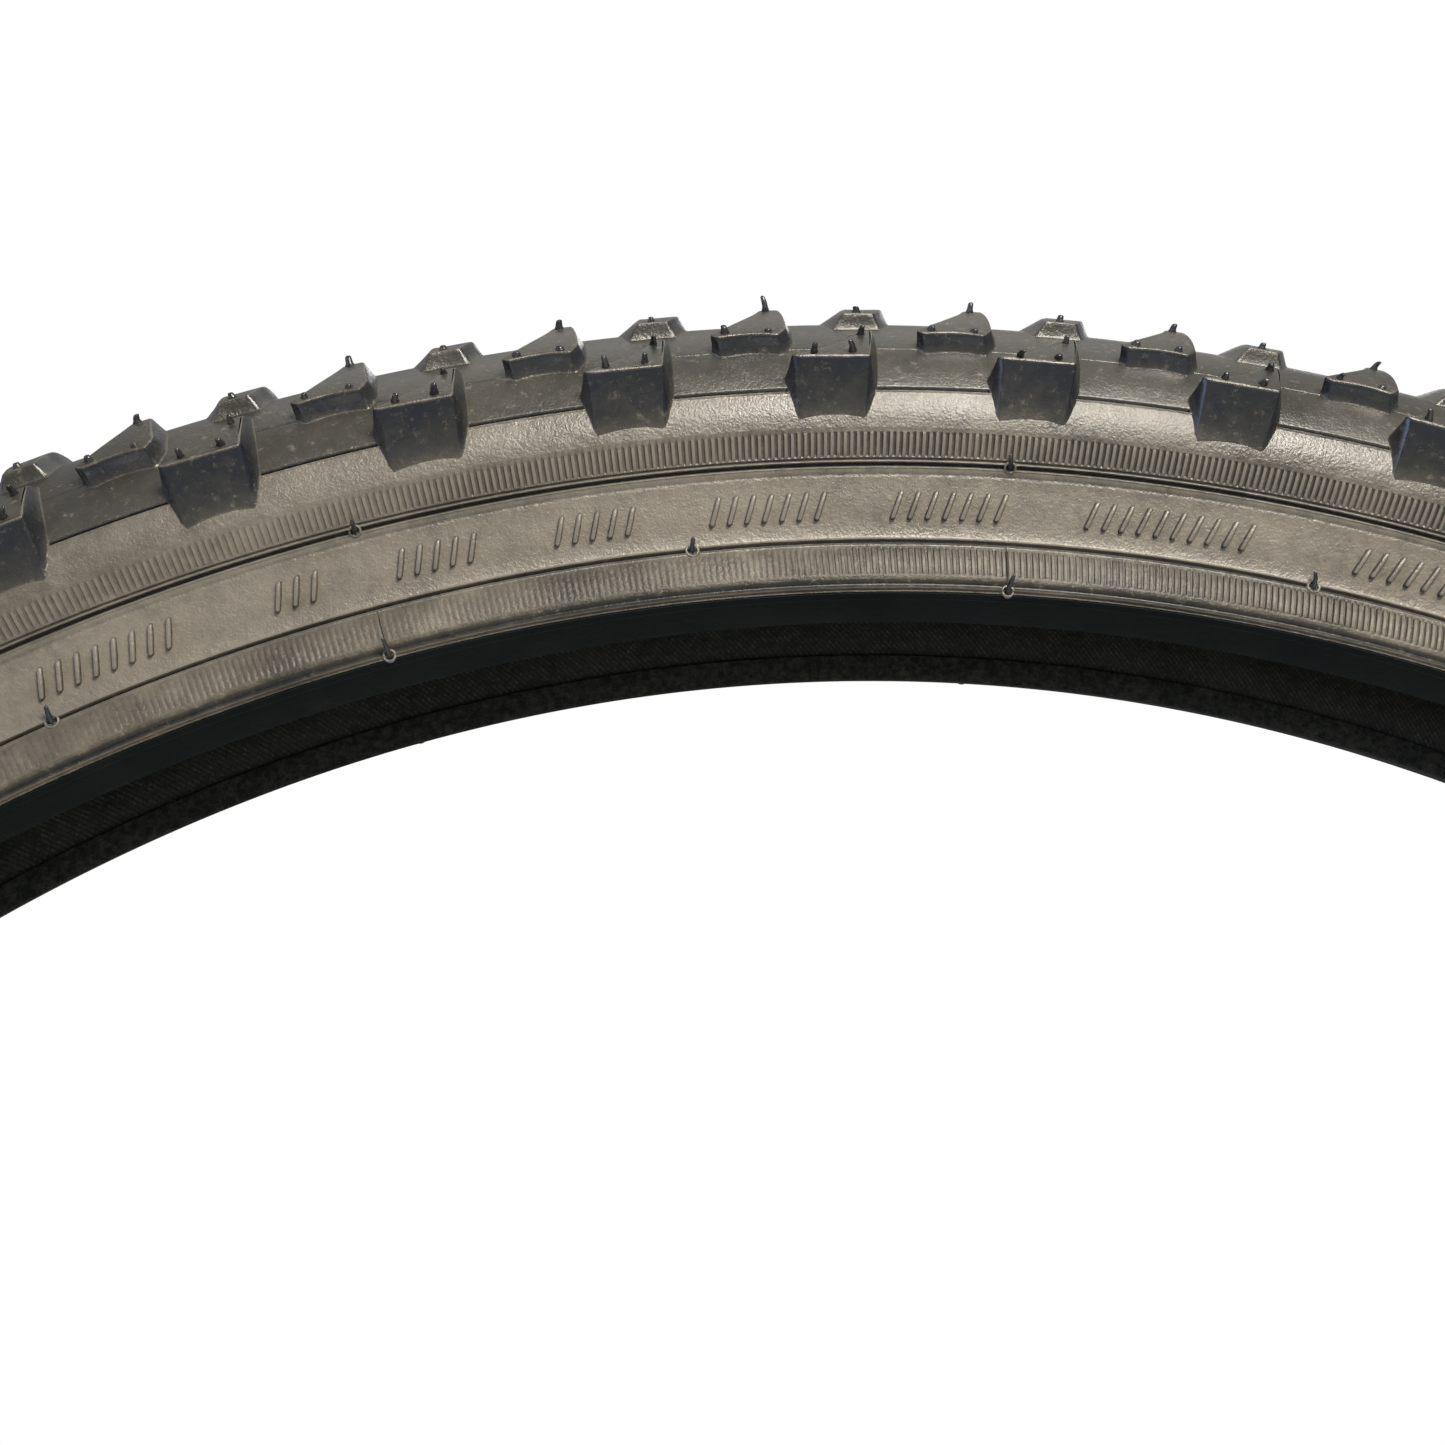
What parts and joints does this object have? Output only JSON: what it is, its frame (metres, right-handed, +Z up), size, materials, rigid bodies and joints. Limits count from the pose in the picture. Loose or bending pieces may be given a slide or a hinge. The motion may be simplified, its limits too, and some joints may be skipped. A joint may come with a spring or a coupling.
{
  "type": "bicycle tire",
  "caption": "Knobby off-road bicycle tire with staggered tread blocks, ribbed sidewalls, cord casing and stiff wire beads, open at the rim side.",
  "frame": {"origin": "wheel centre: the middle of the tire's width on the axis it rolls about", "axes": "+Y along the wheel's axis to the rider's left, +Z up, +X the way the tire rolls"},
  "size_m": [0.6842, 0.0628, 0.6842],
  "materials": {
    "tread_rubber": "moulded black rubber, brownish-grey where the mould left its film",
    "sidewall_rubber": "moulded rubber with a warm grey-brown sheen",
    "cord_fabric": "black rubberised cord fabric",
    "rim_strip_rubber": "smooth black rubber",
    "bead_steel": "drawn steel wire"
  },
  "bodies": {
    "root": {"tread": "tread_rubber", "casing_ply_outer": "cord_fabric", "casing_ply_inner": "cord_fabric", "sidewall_right": "sidewall_rubber", "sidewall_left": "sidewall_rubber", "bead_core_right": "bead_steel", "bead_core_left": "bead_steel", "rim_strip_right": "rim_strip_rubber", "rim_strip_left": "rim_strip_rubber"}
  },
  "joints": []
}
